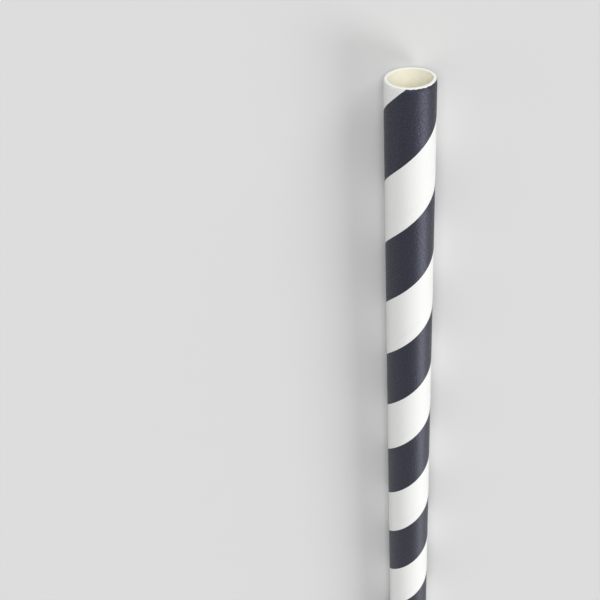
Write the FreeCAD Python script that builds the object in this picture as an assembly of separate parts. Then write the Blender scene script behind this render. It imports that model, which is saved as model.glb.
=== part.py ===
import FreeCAD, Part
import math
import os

# A paper drinking straw, in millimetres, +Z up. Three plies of paper are wound round a rod and
# glued into one stiff tube, which is cut square at both ends. The outer ply is printed with a dark
# band, which climbs the straw as a right-handed helix. The straw lies on its side: its axis runs
# along X, the end seen from above points to +X, and the origin is under its middle.
#
# The model is built upright and laid down at the end. The print is drawn unrolled: a point of it
# is an angle round the axis, which goes on counting past a full turn, and a height above the lower
# cut end. There each edge of the band is a straight line.

# Driving dimensions of the tube
straw_length = 197.0
outer_diameter = 6.0
wall_thickness = 0.45

# Driving dimensions of the printed band, heights measured along the straw
print_thickness = 0.04         # drawn thicker than ink, so that its facets stay clear of the paper
winding_lead = 18.0            # how far the winding climbs in one turn
dark_band_rise = 9.25          # the rest of the lead is bare white paper
dark_band_depth = 3.7          # from the +X end to the dark band's upper edge, on the +Y side

# Worked out from the driving dimensions
outer_radius = outer_diameter / 2
inner_radius = outer_radius - wall_thickness
print_radius = outer_radius + print_thickness
climb = winding_lead / math.tau
face_angle = math.pi           # each turn of the band is made of two faces
smallest = 1e-7                # less than this is no length and no angle

# Edges of the band: the height at which each one crosses angle zero
dark_top = straw_length - dark_band_depth - climb * math.pi / 2
dark_bottom = dark_top - dark_band_rise


def face_spans(low, high):
    """Angles between which the strip from one edge of the winding to another has its faces."""
    first = math.floor(-high / climb / face_angle)
    last = math.ceil((straw_length - low) / climb / face_angle)
    return [(n * face_angle, (n + 1) * face_angle) for n in range(first, last)]


def cylinder_for(radius, start):
    """A cylinder that counts its own angle from a little before start, so no face meets its seam."""
    surface = Part.Cylinder()
    surface.Radius = radius
    origin = start - face_angle / 4
    turn = FreeCAD.Placement(FreeCAD.Vector(), FreeCAD.Vector(0, 0, 1), math.degrees(origin))
    surface.rotate(turn)
    return surface, origin


def skin_edge(surface, origin, first, last):
    """The line between two (angle, height) points of the unrolled skin, rolled up again."""
    first = FreeCAD.Base.Vector2d(first[0] - origin, first[1])
    last = FreeCAD.Base.Vector2d(last[0] - origin, last[1])
    return Part.Geom2d.Line2dSegment(first, last).toShape(surface)


def cut_off(corners, height, keep_below):
    """The part of an unrolled outline on one side of a cut across the straw."""
    sign = 1 if keep_below else -1
    kept = []
    for (angle, level), (next_angle, next_level) in zip(corners, corners[1:] + corners[:1]):
        room = sign * (height - level)
        next_room = sign * (height - next_level)
        if room >= 0:
            kept.append((angle, level))
        if room * next_room < 0:
            share = room / (room - next_room)
            kept.append((angle + share * (next_angle - angle), height))
    return kept


def without_repeats(corners):
    return [
        corner for corner, before in zip(corners, corners[-1:] + corners[:-1])
        if math.dist(corner, before) > smallest
    ]


def strip(radius, low, high):
    """Faces of the helical strip between two edges of the winding, trimmed at both cut ends."""
    faces = []
    for start, end in face_spans(low, high):
        corners = [
            (start, low + climb * start),
            (end, low + climb * end),
            (end, high + climb * end),
            (start, high + climb * start),
        ]
        corners = cut_off(cut_off(corners, 0, False), straw_length, True)
        corners = without_repeats(corners)
        if len(corners) < 3:
            continue
        surface, origin = cylinder_for(radius, start)
        pairs = zip(corners, corners[1:] + corners[:1])
        outline = Part.Wire([skin_edge(surface, origin, a, b) for a, b in pairs])
        faces.append(Part.Face(surface, outline))
    return faces


def ledge(edge, radius, other_radius):
    """Faces of the helical step that one edge of the winding makes between two radii."""
    faces = []
    for start, end in face_spans(edge, edge):
        start = max(start, -edge / climb)
        end = min(end, (straw_length - edge) / climb)
        if end - start < smallest:
            continue
        sides = []
        for side_radius in (radius, other_radius):
            surface, origin = cylinder_for(side_radius, start)
            ends = [(angle, edge + climb * angle) for angle in (start, end)]
            sides.append(skin_edge(surface, origin, *ends))
        same_way = 1
        faces.append(Part.makeRuledSurface(sides[0], sides[1], same_way))
    return faces


def sewn(faces):
    shape = Part.makeCompound(faces)
    shape.sewShape()
    return shape


def open_edges(shell):
    """Edges that only one face of the shell uses."""
    uses = {}
    for face in shell.Faces:
        for edge in face.Edges:
            uses.setdefault(edge.hashCode(), []).append(edge)
    return [group[0] for group in uses.values() if len(group) == 1]


def closed_solid(skin):
    """Sew the skin, close it with a flat face at each cut end, and fill it."""
    skin = sewn(skin)
    rims = open_edges(skin)
    flats = []
    for height in (0, straw_length):
        rim = [edge for edge in rims if abs(edge.CenterOfMass.z - height) < smallest]
        wires = [Part.Wire(edges) for edges in Part.sortEdges(rim)]
        flats.append(Part.makeFace(wires, "Part::FaceMakerBullseye"))
    solid = Part.Solid(sewn(skin.Faces + flats).Shells[0])
    if solid.Volume < 0:
        solid.reverse()
    return solid


def paper_tube():
    """The wound and glued wall, open from end to end."""
    wall = Part.makeCylinder(outer_radius, straw_length)
    return wall.cut(Part.makeCylinder(inner_radius, straw_length))


def dark_stripe():
    """The printed band, which lies on the paper all the way round and up."""
    return closed_solid(
        strip(outer_radius, dark_bottom, dark_top)
        + strip(print_radius, dark_bottom, dark_top)
        + ledge(dark_top, outer_radius, print_radius)
        + ledge(dark_bottom, outer_radius, print_radius)
    )


def lay_down(shape):
    """Turn the upright straw onto its side, its upper end to +X."""
    shape.rotate(FreeCAD.Vector(), FreeCAD.Vector(0, 1, 0), 90)
    shape.translate(FreeCAD.Vector(-straw_length / 2, 0, print_radius))
    return shape


def main():
    os.makedirs("parts", exist_ok=True)
    for node, shape in (("paper_tube", paper_tube()), ("dark_stripe", dark_stripe())):
        lay_down(shape).exportStep("parts/" + node + ".step")


main()
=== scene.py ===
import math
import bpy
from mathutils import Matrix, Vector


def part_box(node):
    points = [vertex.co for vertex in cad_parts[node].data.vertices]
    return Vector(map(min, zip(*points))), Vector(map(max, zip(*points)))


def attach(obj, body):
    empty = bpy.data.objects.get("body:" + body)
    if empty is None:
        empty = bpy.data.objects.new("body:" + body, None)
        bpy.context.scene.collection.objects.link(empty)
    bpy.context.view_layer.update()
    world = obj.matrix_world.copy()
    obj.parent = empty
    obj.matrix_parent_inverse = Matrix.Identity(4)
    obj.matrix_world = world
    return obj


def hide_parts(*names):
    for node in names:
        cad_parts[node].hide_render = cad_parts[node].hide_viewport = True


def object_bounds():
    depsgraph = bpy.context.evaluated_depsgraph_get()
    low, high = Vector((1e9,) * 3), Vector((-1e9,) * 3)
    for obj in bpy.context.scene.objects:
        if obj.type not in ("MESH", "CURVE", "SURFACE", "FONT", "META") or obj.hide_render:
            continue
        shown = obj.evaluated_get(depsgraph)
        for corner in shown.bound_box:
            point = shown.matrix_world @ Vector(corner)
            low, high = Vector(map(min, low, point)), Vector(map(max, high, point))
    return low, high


bl_info = {
    "name": "Paper Straw",
    "version": (1, 0, 0),
    "blender": (4, 5, 0),
    "location": "3D View > Sidebar > Paper Straw",
    "description": "Winds, prints and lights a paper drinking straw around its CAD frame",
    "category": "Add Mesh",
}

import bmesh
import bpy
from mathutils import Matrix, Vector, noise

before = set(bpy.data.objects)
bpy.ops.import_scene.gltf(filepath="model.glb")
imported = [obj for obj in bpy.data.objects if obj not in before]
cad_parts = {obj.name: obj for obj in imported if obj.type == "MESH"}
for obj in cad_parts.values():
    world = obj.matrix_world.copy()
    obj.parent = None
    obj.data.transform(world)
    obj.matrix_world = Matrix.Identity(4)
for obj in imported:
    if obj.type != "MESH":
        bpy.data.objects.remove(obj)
cad_low, cad_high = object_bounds()
tube_low, tube_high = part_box("paper_tube")

MM = 0.001

# The wall and the print
PLIES = 3
PAPER_SLOT, CUT_SLOT, BORE_SLOT = range(3)
LAP_STEP = 0.10 * MM           # length over which the lapped edge drops back
PRINT_ROOT = 2.5               # depth of the print's solid, in times its thickness
SHARP_EDGE = math.radians(30)

# The cut ends
RIM_DEPTH = 0.06 * MM          # from a cut end to where its rim begins
END_RINGS = (0.08, 0.18, 0.32, 0.52, 0.8, 1.0)     # shares of the pinch reach
FRAY_SIZE = 0.35 * MM          # size of the uneven spots along a rim
FRAY_SHIFT = 0.02              # keeps the two rims from fraying alike
FRAY_CONTRAST = 0.75

# Tolerances and the stage
SAME_POINT = 1e-6              # points nearer than this are one
CUT_TOLERANCE = 1e-7
ROUNDING = 1e-9
FLOOR_SIZE = 20.0


class StrawSizes(bpy.types.PropertyGroup):
    """The winding, the print and the cut ends."""

    lead: bpy.props.FloatProperty(
        name="Lead",
        description="How far the winding climbs in one turn",
        default=18.0 * MM,
        unit="LENGTH",
        precision=5,
    )
    wall: bpy.props.FloatProperty(
        name="Wall",
        description="Thickness of the three glued plies together",
        default=0.45 * MM,
        unit="LENGTH",
        precision=5,
    )
    band_rise: bpy.props.FloatProperty(
        name="Dark Band Rise",
        description="Height of the dark band, measured along the straw",
        default=9.25 * MM,
        unit="LENGTH",
        precision=5,
    )
    band_depth: bpy.props.FloatProperty(
        name="Dark Band Depth",
        description="From the +X end to the dark band's upper edge, on the +Y side",
        default=3.7 * MM,
        unit="LENGTH",
        precision=5,
    )
    print_thickness: bpy.props.FloatProperty(
        name="Print Thickness",
        description="How far the dark print stands out from the white paper",
        default=0.008 * MM,
        unit="LENGTH",
        precision=6,
    )
    lap_offset: bpy.props.FloatProperty(
        name="Lap Offset",
        description="From the dark band's upper edge to the outer strip's lapped edge",
        default=1.8 * MM,
        unit="LENGTH",
        precision=5,
    )
    lap_rise: bpy.props.FloatProperty(
        name="Lap Rise",
        description="Width of the lap, measured along the straw",
        default=1.4 * MM,
        unit="LENGTH",
        precision=5,
    )
    lap_height: bpy.props.FloatProperty(
        name="Lap Height",
        description="How far the lapped edge stands out",
        default=0.02 * MM,
        unit="LENGTH",
        precision=6,
    )
    pinch: bpy.props.FloatProperty(
        name="Pinch",
        description="How far the knife presses the outer edge of a cut end inwards",
        default=0.11 * MM,
        unit="LENGTH",
        precision=5,
    )
    pinch_reach: bpy.props.FloatProperty(
        name="Pinch Reach",
        description="How far from a cut end the straw is pressed in",
        default=0.7 * MM,
        unit="LENGTH",
        precision=5,
    )
    fray: bpy.props.FloatProperty(
        name="Fray",
        description="Greatest unevenness of the cut rims",
        default=0.07 * MM,
        unit="LENGTH",
        precision=5,
    )
    chip: bpy.props.FloatProperty(
        name="Chip",
        description="Greatest width of print that is chipped off along a cut end",
        default=0.16 * MM,
        unit="LENGTH",
        precision=5,
    )
    columns: bpy.props.IntProperty(
        name="Columns",
        description="Columns of faces round the straw",
        default=72,
        min=24,
    )
    row_gap: bpy.props.FloatProperty(
        name="Row Gap",
        description="Greatest distance between two rows of faces of the winding",
        default=0.9 * MM,
        unit="LENGTH",
        precision=5,
    )


class StrawColours(bpy.types.PropertyGroup):
    """Colours of the paper, the print and the stage."""

    paper: bpy.props.FloatVectorProperty(
        name="White Paper",
        description="The outer ply where it is bare",
        default=(0.80, 0.80, 0.787),
        subtype="COLOR",
        min=0.0,
        max=1.0,
    )
    paper_shade: bpy.props.FloatVectorProperty(
        name="White Paper Shade",
        description="The outer ply between its denser flecks",
        default=(0.74, 0.74, 0.722),
        subtype="COLOR",
        min=0.0,
        max=1.0,
    )
    print_ink: bpy.props.FloatVectorProperty(
        name="Dark Print",
        description="The dark band",
        default=(0.0025, 0.003, 0.005),
        subtype="COLOR",
        min=0.0,
        max=1.0,
    )
    print_thin: bpy.props.FloatVectorProperty(
        name="Thin Print",
        description="The dark band where fibres show through the ink",
        default=(0.017, 0.018, 0.027),
        subtype="COLOR",
        min=0.0,
        max=1.0,
    )
    bore: bpy.props.FloatVectorProperty(
        name="Bore",
        description="The creamier paper of the inner ply",
        default=(0.95, 0.922, 0.775),
        subtype="COLOR",
        min=0.0,
        max=1.0,
    )
    cut: bpy.props.FloatVectorProperty(
        name="Cut Face",
        description="Cut fibres on the two rims",
        default=(0.89, 0.89, 0.86),
        subtype="COLOR",
        min=0.0,
        max=1.0,
    )
    glue: bpy.props.FloatVectorProperty(
        name="Glue Line",
        description="The thin glue lines between the plies, on the two rims",
        default=(0.74, 0.72, 0.64),
        subtype="COLOR",
        min=0.0,
        max=1.0,
    )
    floor: bpy.props.FloatVectorProperty(
        name="Floor",
        description="The plain pale floor",
        default=(0.66, 0.66, 0.66),
        subtype="COLOR",
        min=0.0,
        max=1.0,
    )


class StrawStage(bpy.types.PropertyGroup):
    """Camera, lamps and surroundings."""

    lens: bpy.props.FloatProperty(
        name="Lens",
        description="Focal length of the camera",
        default=58.92,
        unit="CAMERA",
    )
    eye: bpy.props.FloatVectorProperty(
        name="Eye",
        description="Camera position, from the centre of the +X rim",
        default=(46.04 * MM, 14.135 * MM, 101.56 * MM),
        subtype="TRANSLATION",
        unit="LENGTH",
        precision=5,
    )
    tilt: bpy.props.FloatProperty(
        name="Tilt",
        description="Angle between the line of sight and straight down",
        default=math.radians(36.64),
        subtype="ANGLE",
    )
    roll: bpy.props.FloatProperty(
        name="Roll",
        description="Turn of the camera about its line of sight, so the +X end is up",
        default=math.radians(175.5),
        subtype="ANGLE",
    )
    key_strength: bpy.props.FloatProperty(
        name="Key Strength",
        description="Strength of the soft lamp that looks into the +X end",
        default=1.05,
    )
    front_strength: bpy.props.FloatProperty(
        name="Front Strength",
        description="Strength of the soft lamp overhead",
        default=1.68,
    )
    side_strength: bpy.props.FloatProperty(
        name="Side Strength",
        description="Strength of the lamp that lights the satin print from the right",
        default=1.36,
    )
    left_strength: bpy.props.FloatProperty(
        name="Left Strength",
        description="Strength of the weak lamp on the left",
        default=0.22,
    )
    sky: bpy.props.FloatProperty(
        name="Sky",
        description="Strength of the plain surroundings as light on the paper",
        default=0.28,
    )
    backdrop: bpy.props.FloatProperty(
        name="Backdrop",
        description="Strength of the plain surroundings where they are seen or mirrored",
        default=0.72,
    )


def sizes():
    return bpy.context.scene.straw_sizes


def colours():
    return bpy.context.scene.straw_colours


def stage_plan():
    return bpy.context.scene.straw_stage


def straw_length():
    return tube_high.x - tube_low.x


def outer_radius():
    return (tube_high.y - tube_low.y) / 2


def axis_height():
    return (tube_high.z + tube_low.z) / 2


def climb():
    """How far the winding climbs in one radian."""
    return sizes().lead / math.tau


def dark_top():
    """Height of the dark band's upper edge at angle zero, which is straight down."""
    return straw_length() - sizes().band_depth - climb() * math.pi / 2


def dark_bottom():
    return dark_top() - sizes().band_rise


def rolled_up(angle, height, radius):
    """A point of the unrolled print, rolled up and laid on its side."""
    return Vector((
        height - straw_length() / 2,
        radius * math.sin(angle),
        axis_height() - radius * math.cos(angle),
    ))


def away_from_axis(place):
    """From the straw's axis to a point, square to the axis."""
    return Vector((0, place.y, place.z - axis_height()))


def depth_of(place):
    """How far a point lies from the nearer cut end."""
    return straw_length() / 2 - abs(place.x)


def rim_starts():
    """Height at which each rim begins, and the direction out of the straw there."""
    return (RIM_DEPTH, -1), (straw_length() - RIM_DEPTH, 1)


def lap_start():
    return dark_top() + sizes().lap_offset - sizes().lap_rise


def lap_end():
    return dark_top() + sizes().lap_offset


def ply_radius(level):
    """Radius of the outer ply's skin at a level of the winding, its lap included."""
    radius = outer_radius()
    if lap_start() < level <= lap_end():
        share = (level - lap_start()) / (lap_end() - lap_start())
        radius += sizes().lap_height * share * share * (3 - 2 * share)
    elif lap_end() < level < lap_end() + LAP_STEP:
        radius += sizes().lap_height * (lap_end() + LAP_STEP - level) / LAP_STEP
    return radius


def rows_between(low, high, marks):
    """Levels from low to high, with a row at each mark and none further apart than the row gap."""
    marks = sorted({low, high, *marks})
    rows = []
    for start, end in zip(marks, marks[1:]):
        count = max(1, math.ceil((end - start) / sizes().row_gap - ROUNDING))
        rows += [start + (end - start) * n / count for n in range(count)]
    return rows + [high]


def wind(mesh, rows, radius_at, uv_layer, material, inward=False):
    """Roll a strip of paper up into a helical skin, whose rows run along the winding."""
    step = math.tau / sizes().columns
    first = math.floor(-rows[-1] / climb() / step)
    last = math.ceil((straw_length() - rows[0]) / climb() / step)
    slope = math.atan2(climb(), outer_radius())
    grid = {}
    for column in range(first, last + 1):
        angle = column * step
        for row, level in enumerate(rows):
            place = rolled_up(angle, level + climb() * angle, radius_at(level))
            grid[column, row] = mesh.verts.new(place)
    faces = []
    for column in range(first, last):
        for row in range(len(rows) - 1):
            corners = [(column, row), (column, row + 1), (column + 1, row + 1), (column + 1, row)]
            if inward:
                corners.reverse()
            face = mesh.faces.new([grid[corner] for corner in corners])
            face.material_index = material
            face.smooth = True
            for loop, (c, r) in zip(face.loops, corners):
                run = c * step * outer_radius() / math.cos(slope) + rows[r] * math.sin(slope)
                loop[uv_layer].uv = (run / MM, rows[r] * math.cos(slope) / MM)
            faces.append(face)
    return faces


def cut_across(mesh, height, outwards=1, clear_outer=False):
    """Cut the skin square to the straw at this height, and drop what is beyond if asked."""
    bmesh.ops.bisect_plane(
        mesh,
        geom=mesh.verts[:] + mesh.edges[:] + mesh.faces[:],
        dist=CUT_TOLERANCE,
        plane_co=rolled_up(0, height, 0),
        plane_no=(outwards, 0, 0),
        clear_outer=clear_outer,
    )


def cut_square(mesh):
    """Cut both ends of the skin square, where the rims begin."""
    for height, outwards in rim_starts():
        cut_across(mesh, height, outwards, clear_outer=True)


def ring_ends(mesh):
    """Add rings of points near both ends of a cut skin, for its pressed and chipped edge."""
    for share in END_RINGS:
        depth = share * sizes().pinch_reach
        for height in (depth, straw_length() - depth):
            cut_across(mesh, height)


def near_ends(mesh):
    """Each point near a cut end, with its share: 1 at the end, and 0 at the pinch reach."""
    for vert in mesh.verts:
        share = 1 - depth_of(vert.co) / sizes().pinch_reach
        if share > 0:
            yield vert, share


def press_ends(mesh):
    """Press both ends of a cut skin in a little, as the knife does."""
    middle = outer_radius() - sizes().wall / 2
    for vert, share in near_ends(mesh):
        spoke = away_from_axis(vert.co)
        if spoke.length > middle:
            vert.co -= spoke.normalized() * sizes().pinch * share * share * share


def fray(spoke, direction):
    """An uneven share from 0 to 1 for one point of a cut rim."""
    place = spoke.normalized() * outer_radius() + Vector((direction * FRAY_SHIFT, 0, 0))
    return min(1.0, max(0.0, 0.5 + FRAY_CONTRAST * noise.noise(place / FRAY_SIZE)))


def chip_ends(mesh):
    """Let the knife chip the print off unevenly along both cut ends."""
    for vert, share in near_ends(mesh):
        direction = math.copysign(1, vert.co.x)
        uneven = fray(away_from_axis(vert.co), direction)
        vert.co.x -= direction * sizes().chip * uneven * share


def end_loop(mesh, height, radius):
    """Open edges of the skin of about this radius, at one cut end."""
    level = height - straw_length() / 2
    edges = []
    for edge in mesh.edges:
        if not edge.is_boundary:
            continue
        if all(abs(v.co.x - level) < SAME_POINT for v in edge.verts):
            if abs(away_from_axis(edge.verts[0].co).length - radius) < sizes().wall / 3:
                edges.append(edge)
    return edges


def make_round(edges, radius):
    """Put the open edge of a cut skin exactly on its circle."""
    for vert in {vert for edge in edges for vert in edge.verts}:
        spoke = away_from_axis(vert.co)
        vert.co += spoke.normalized() * (radius - spoke.length)


def turn_rim(mesh, edges, direction, uv_layer, material):
    """Carry the skin over the cut end and into the bore, ring by ring."""
    inner = outer_radius() - sizes().wall
    outer = outer_radius() - sizes().pinch
    end = direction * straw_length() / 2
    # Share of the rim from the outside in, depth below the cut in millimetres, share of fraying
    rings = (
        (0.02, 0.035, 0.5),
        (0.06, 0.012, 0.9),
        (0.14, 0.000, 1.0),
        (0.30, 0.000, 0.6),
        (0.36, 0.008, 0.4),
        (0.44, 0.000, 0.6),
        (0.60, 0.000, 0.7),
        (0.66, 0.008, 0.4),
        (0.74, 0.000, 0.6),
        (0.88, 0.002, 1.0),
        (0.96, 0.020, 0.9),
        (1.00, RIM_DEPTH / MM, 0.0),
    )
    for share, depth, ragged in rings:
        made = bmesh.ops.extrude_edge_only(mesh, edges=edges)["geom"]
        edges = [
            item for item in made
            if isinstance(item, bmesh.types.BMEdge) and item.is_boundary
        ]
        for vert in {vert for edge in edges for vert in edge.verts}:
            spoke = away_from_axis(vert.co).normalized()
            uneven = ragged * fray(spoke, direction)
            edge_shift = (0.5 - share) * uneven * sizes().fray * (share < 1)
            radius = outer + (inner - outer) * share - 0.5 * edge_shift
            drop = depth * MM + uneven * sizes().fray
            vert.co = Vector((end - direction * drop, 0, axis_height())) + spoke * radius
        for face in (item for item in made if isinstance(item, bmesh.types.BMFace)):
            face.material_index = material
            face.smooth = True
            for loop in face.loops:
                spoke = away_from_axis(loop.vert.co)
                around = math.atan2(spoke.y, -spoke.z) * inner
                loop[uv_layer].uv = (around / MM, spoke.length / MM)
    return edges


def finished(mesh, name):
    """Turn the worked mesh into an object of the scene."""
    data = bpy.data.meshes.new(name)
    mesh.to_mesh(data)
    mesh.free()
    piece = bpy.data.objects.new(name, data)
    bpy.context.scene.collection.objects.link(piece)
    return piece


class Recipe:
    """A material's node tree, with short calls for the nodes that paper needs."""

    def __init__(self, name):
        self.material = bpy.data.materials.new(name)
        self.material.use_nodes = True
        self.tree = self.material.node_tree
        self.shader = self.tree.nodes["Principled BSDF"]

    def node(self, kind, settings=(), inputs=()):
        made = self.tree.nodes.new(kind)
        for key, value in dict(settings).items():
            setattr(made, key, value)
        for key, value in dict(inputs).items():
            if isinstance(value, bpy.types.NodeSocket):
                self.tree.links.new(value, made.inputs[key])
            else:
                made.inputs[key].default_value = value
        return made

    def paper_place(self, along, across):
        """Place on the strip in millimetres, stretched by these factors."""
        uv = self.node("ShaderNodeUVMap", {"uv_map": "paper"})
        return self.node(
            "ShaderNodeMapping",
            inputs={"Vector": uv.outputs["UV"], "Scale": (along, across, 1.0)},
        ).outputs["Vector"]

    def grain(self, along, across, detail, roughness=0.5):
        """Noise with this many flecks to the millimetre along and across the strip."""
        return self.node(
            "ShaderNodeTexNoise",
            inputs={
                "Vector": self.paper_place(along, across),
                "Scale": 1.0,
                "Detail": detail,
                "Roughness": roughness,
            },
        ).outputs["Fac"]

    def spread(self, value, low, high, new_low, new_high):
        """Map a range of a texture onto another one."""
        return self.node(
            "ShaderNodeMapRange",
            inputs={
                "Value": value,
                "From Min": low,
                "From Max": high,
                "To Min": new_low,
                "To Max": new_high,
            },
        ).outputs["Result"]

    def mixed(self, share, first, second):
        """A colour between two others."""
        made = self.node("ShaderNodeMix", {"data_type": "RGBA"}, {"Factor": share})
        for socket, colour in ((made.inputs[6], first), (made.inputs[7], second)):
            if isinstance(colour, bpy.types.NodeSocket):
                self.tree.links.new(colour, socket)
            else:
                socket.default_value = (*colour, 1.0)
        return made.outputs[2]

    def set(self, socket, value):
        """Give the shader a plain number or colour, or link a texture to it."""
        if isinstance(value, bpy.types.NodeSocket):
            self.tree.links.new(value, self.shader.inputs[socket])
        else:
            self.shader.inputs[socket].default_value = value

    def relief(self, height, strength, distance, under=None):
        """Raise the surface by a texture."""
        inputs = {"Height": height, "Strength": strength, "Distance": distance}
        if under is not None:
            inputs["Normal"] = under
        return self.node("ShaderNodeBump", inputs=inputs).outputs["Normal"]


def white_paper():
    recipe = Recipe("white_paper")
    fibres = recipe.grain(1.1, 5.5, 6.0, 0.6)
    clouds = recipe.grain(0.45, 0.45, 3.0)
    tooth = recipe.grain(4.2, 5.2, 4.0, 0.65)
    flecks = recipe.spread(fibres, 0.32, 0.68, 0.0, 1.0)
    cloudy = recipe.spread(clouds, 0.3, 0.7, 0.0, 0.35)
    speckled = recipe.spread(tooth, 0.4, 0.72, 0.0, 0.6)
    shade = recipe.mixed(flecks, tuple(colours().paper), tuple(colours().paper_shade))
    cloud = recipe.mixed(cloudy, tuple(colours().paper), shade)
    recipe.set("Base Color", recipe.mixed(speckled, cloud, tuple(colours().paper_shade)))
    recipe.set("Roughness", recipe.spread(tooth, 0.3, 0.7, 0.5, 0.68))
    recipe.set("Specular IOR Level", 0.4)
    coarse = recipe.relief(fibres, 0.35, 0.006 * MM)
    recipe.set("Normal", recipe.relief(tooth, 1.0, 0.025 * MM, coarse))
    return recipe.material


def dark_print():
    recipe = Recipe("dark_print")
    fibres = recipe.grain(1.1, 5.5, 6.0, 0.6)
    tooth = recipe.grain(3.6, 4.4, 3.0, 0.55)
    showing = recipe.spread(tooth, 0.45, 0.70, 0.0, 1.0)
    ink = recipe.mixed(showing, tuple(colours().print_ink), tuple(colours().print_thin))
    recipe.set("Base Color", ink)
    recipe.set("Roughness", recipe.spread(tooth, 0.3, 0.7, 0.54, 0.36))
    recipe.set("Specular IOR Level", 0.64)
    recipe.set("Specular Tint", (0.72, 0.75, 1.0, 1.0))
    coarse = recipe.relief(fibres, 0.4, 0.010 * MM)
    recipe.set("Normal", recipe.relief(tooth, 1.0, 0.055 * MM, coarse))
    return recipe.material


def bore_paper():
    recipe = Recipe("bore_paper")
    fibres = recipe.grain(1.1, 5.5, 6.0, 0.6)
    flecks = recipe.spread(fibres, 0.3, 0.7, 0.0, 1.0)
    cream = tuple(colours().bore)
    deeper = tuple(0.93 * part for part in cream)
    recipe.set("Base Color", recipe.mixed(flecks, cream, deeper))
    recipe.set("Roughness", 0.7)
    recipe.set("Specular IOR Level", 0.3)
    recipe.set("Normal", recipe.relief(fibres, 0.4, 0.01 * MM))
    return recipe.material


def cut_paper():
    recipe = Recipe("cut_paper")
    uv = recipe.node("ShaderNodeUVMap", {"uv_map": "paper"})
    split = recipe.node("ShaderNodeSeparateXYZ", inputs={"Vector": uv.outputs["UV"]})
    inner = (outer_radius() - sizes().wall) / MM
    ply = sizes().wall / PLIES / MM
    depth = recipe.node(
        "ShaderNodeMath",
        {"operation": "SUBTRACT"},
        {0: split.outputs["Y"], 1: inner},
    ).outputs[0]
    in_ply = recipe.node(
        "ShaderNodeMath", {"operation": "PINGPONG"}, {0: depth, 1: ply / 2}
    ).outputs[0]
    near_glue = recipe.spread(in_ply, 0.0, 0.018, 0.8, 0.0)
    fibres = recipe.grain(12.0, 14.0, 4.0, 0.6)
    tone = recipe.mixed(fibres, tuple(colours().cut), tuple(0.95 * c for c in colours().cut))
    recipe.set("Base Color", recipe.mixed(near_glue, tone, tuple(colours().glue)))
    recipe.set("Roughness", 0.85)
    recipe.set("Specular IOR Level", 0.2)
    recipe.set("Normal", recipe.relief(fibres, 0.6, 0.02 * MM))
    return recipe.material


def plain_floor():
    recipe = Recipe("pale_floor")
    recipe.set("Base Color", (*colours().floor, 1.0))
    recipe.set("Roughness", 0.9)
    recipe.set("Specular IOR Level", 0.1)
    return recipe.material


class StrawWall(bpy.types.Operator):
    """Wind the white paper wall, with its lap, its bore and its two cut rims"""

    bl_idname = "straw.wind_wall"
    bl_label = "Wind Wall"

    def execute(self, context):
        mesh = bmesh.new()
        uv_layer = mesh.loops.layers.uv.new("paper")
        low = dark_bottom()
        marks = (dark_top(), lap_start(), lap_end(), lap_end() + LAP_STEP)
        rows = rows_between(low, low + sizes().lead, marks)
        inner = outer_radius() - sizes().wall
        wind(mesh, rows, ply_radius, uv_layer, PAPER_SLOT)
        wind(mesh, rows, lambda level: inner, uv_layer, BORE_SLOT, inward=True)
        bmesh.ops.remove_doubles(mesh, verts=mesh.verts[:], dist=SAME_POINT)
        cut_square(mesh)
        ring_ends(mesh)
        press_ends(mesh)
        for height, direction in rim_starts():
            make_round(end_loop(mesh, height, inner), inner)
            edges = end_loop(mesh, height, outer_radius() - sizes().pinch)
            turn_rim(mesh, edges, direction, uv_layer, CUT_SLOT)
        bmesh.ops.remove_doubles(mesh, verts=mesh.verts[:], dist=SAME_POINT)
        bmesh.ops.recalc_face_normals(mesh, faces=mesh.faces[:])
        holes = sum(edge.is_boundary for edge in mesh.edges)
        if holes:
            raise RuntimeError(f"the paper wall has {holes} open edges")
        wall = finished(mesh, "wound_wall")
        for material in (white_paper(), cut_paper(), bore_paper()):
            wall.data.materials.append(material)
        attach(wall, "root")
        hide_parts("paper_tube")
        return {"FINISHED"}


class StrawPrint(bpy.types.Operator):
    """Lay the dark printed band on the wall"""

    bl_idname = "straw.print_band"
    bl_label = "Print Band"

    def execute(self, context):
        mesh = bmesh.new()
        uv_layer = mesh.loops.layers.uv.new("paper")
        rows = rows_between(dark_bottom(), dark_top(), ())
        proud = sizes().print_thickness
        wind(mesh, rows, lambda level: ply_radius(level) + proud, uv_layer, material=0)
        cut_square(mesh)
        ring_ends(mesh)
        chip_ends(mesh)
        press_ends(mesh)
        skin = mesh.faces[:]
        made = bmesh.ops.extrude_face_region(mesh, geom=skin, use_keep_orig=True)["geom"]
        for vert in (item for item in made if isinstance(item, bmesh.types.BMVert)):
            spoke = away_from_axis(vert.co)
            vert.co -= spoke.normalized() * PRINT_ROOT * proud
        bmesh.ops.recalc_face_normals(mesh, faces=mesh.faces[:])
        for edge in mesh.edges:
            if edge.is_manifold and edge.calc_face_angle(0) > SHARP_EDGE:
                edge.smooth = False
        band = finished(mesh, "printed_band")
        band.data.materials.append(dark_print())
        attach(band, "root")
        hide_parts("dark_stripe")
        return {"FINISHED"}


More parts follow.
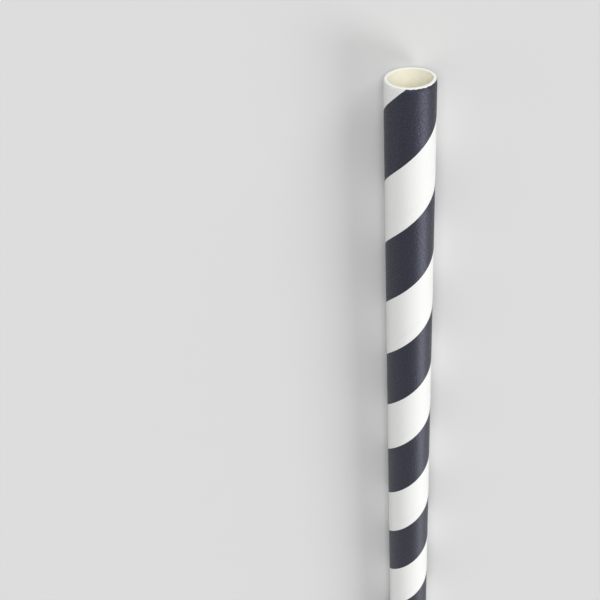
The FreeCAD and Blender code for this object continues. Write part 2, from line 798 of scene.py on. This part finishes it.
class StrawSetStage(bpy.types.Operator):
    """Set the floor, the lamps, the surroundings and the camera"""

    bl_idname = "straw.set_stage"
    bl_label = "Set Stage"

    def execute(self, context):
        scene = context.scene
        scene.view_settings.view_transform = "Standard"
        self.lay_floor()
        self.hang_lamps()
        self.surround(scene)
        self.place_camera(scene)
        return {"FINISHED"}

    def lay_floor(self):
        mesh = bmesh.new()
        bmesh.ops.create_grid(mesh, x_segments=1, y_segments=1, size=FLOOR_SIZE)
        floor = finished(mesh, "pale_floor")
        floor.location.z = cad_low.z
        floor.data.materials.append(plain_floor())

    def lamp(self, name, towards, strength, spread):
        """A distant soft lamp in this direction, as wide as spread, in degrees."""
        data = bpy.data.lights.new(name, "SUN")
        data.energy = strength
        data.angle = math.radians(spread)
        made = bpy.data.objects.new(name, data)
        made.rotation_mode = "QUATERNION"
        made.rotation_quaternion = Vector(towards).to_track_quat("Z", "Y")
        bpy.context.scene.collection.objects.link(made)

    def hang_lamps(self):
        plan = stage_plan()
        # Name, direction of the lamp from the straw, strength, width in degrees
        lamps = (
            ("key", (0.72, -0.62, 0.32), plan.key_strength, 30),
            ("front", (0.47, 0.12, 0.87), plan.front_strength, 36),
            ("side", (-0.50, -0.71, 0.48), plan.side_strength, 28),
            ("left", (-0.10, 0.92, 0.38), plan.left_strength, 40),
        )
        for name, towards, strength, spread in lamps:
            self.lamp(name, towards, strength, spread)

    def surround(self, scene):
        """Plain surroundings, which show paler than the light they give."""
        world = bpy.data.worlds.new("plain_surroundings")
        world.use_nodes = True
        tree = world.node_tree
        background = tree.nodes["Background"]
        background.inputs["Color"].default_value = (1.0, 1.0, 1.0, 1.0)
        ray = tree.nodes.new("ShaderNodeLightPath")
        seen = ray.outputs["Is Camera Ray"]
        for other in ("Is Glossy Ray", "Is Transmission Ray"):
            larger = tree.nodes.new("ShaderNodeMath")
            larger.operation = "MAXIMUM"
            tree.links.new(seen, larger.inputs[0])
            tree.links.new(ray.outputs[other], larger.inputs[1])
            seen = larger.outputs[0]
        strength = tree.nodes.new("ShaderNodeMapRange")
        strength.inputs["To Min"].default_value = stage_plan().sky
        strength.inputs["To Max"].default_value = stage_plan().backdrop
        tree.links.new(seen, strength.inputs["Value"])
        tree.links.new(strength.outputs["Result"], background.inputs["Strength"])
        scene.world = world

    def place_camera(self, scene):
        plan = stage_plan()
        data = bpy.data.cameras.new("camera")
        data.sensor_width = 36.0
        data.lens = plan.lens
        data.clip_start = 1 * MM
        data.clip_end = 10.0
        camera = bpy.data.objects.new("camera", data)
        rim = Vector((tube_high.x, 0, axis_height()))
        facing = Matrix.Rotation(math.pi / 2, 4, "Z")
        pitch = Matrix.Rotation(plan.tilt, 4, "X")
        roll = Matrix.Rotation(plan.roll, 4, "Z")
        camera.matrix_world = Matrix.Translation(rim + Vector(plan.eye)) @ facing @ pitch @ roll
        scene.collection.objects.link(camera)
        scene.camera = camera


class StrawPanel(bpy.types.Panel):
    """Sizes, colours and steps of the paper straw"""

    bl_idname = "VIEW3D_PT_paper_straw"
    bl_label = "Paper Straw"
    bl_space_type = "VIEW_3D"
    bl_region_type = "UI"
    bl_category = "Paper Straw"

    def draw(self, context):
        layout = self.layout
        scene = context.scene
        for title, group in (
            ("Sizes", scene.straw_sizes),
            ("Colours", scene.straw_colours),
            ("Stage", scene.straw_stage),
        ):
            box = layout.box()
            box.label(text=title)
            for key in group.__annotations__:
                box.prop(group, key)
        for operator in OPERATORS:
            layout.operator(operator.bl_idname)


OPERATORS = (StrawWall, StrawPrint, StrawSetStage)
CLASSES = (StrawSizes, StrawColours, StrawStage, *OPERATORS, StrawPanel)


def register():
    for one in CLASSES:
        bpy.utils.register_class(one)
    bpy.types.Scene.straw_sizes = bpy.props.PointerProperty(type=StrawSizes)
    bpy.types.Scene.straw_colours = bpy.props.PointerProperty(type=StrawColours)
    bpy.types.Scene.straw_stage = bpy.props.PointerProperty(type=StrawStage)


def unregister():
    del bpy.types.Scene.straw_stage
    del bpy.types.Scene.straw_colours
    del bpy.types.Scene.straw_sizes
    for one in reversed(CLASSES):
        bpy.utils.unregister_class(one)


def main():
    register()
    bpy.ops.straw.wind_wall()
    bpy.ops.straw.print_band()
    bpy.ops.straw.set_stage()


if __name__ == "__main__":
    main()
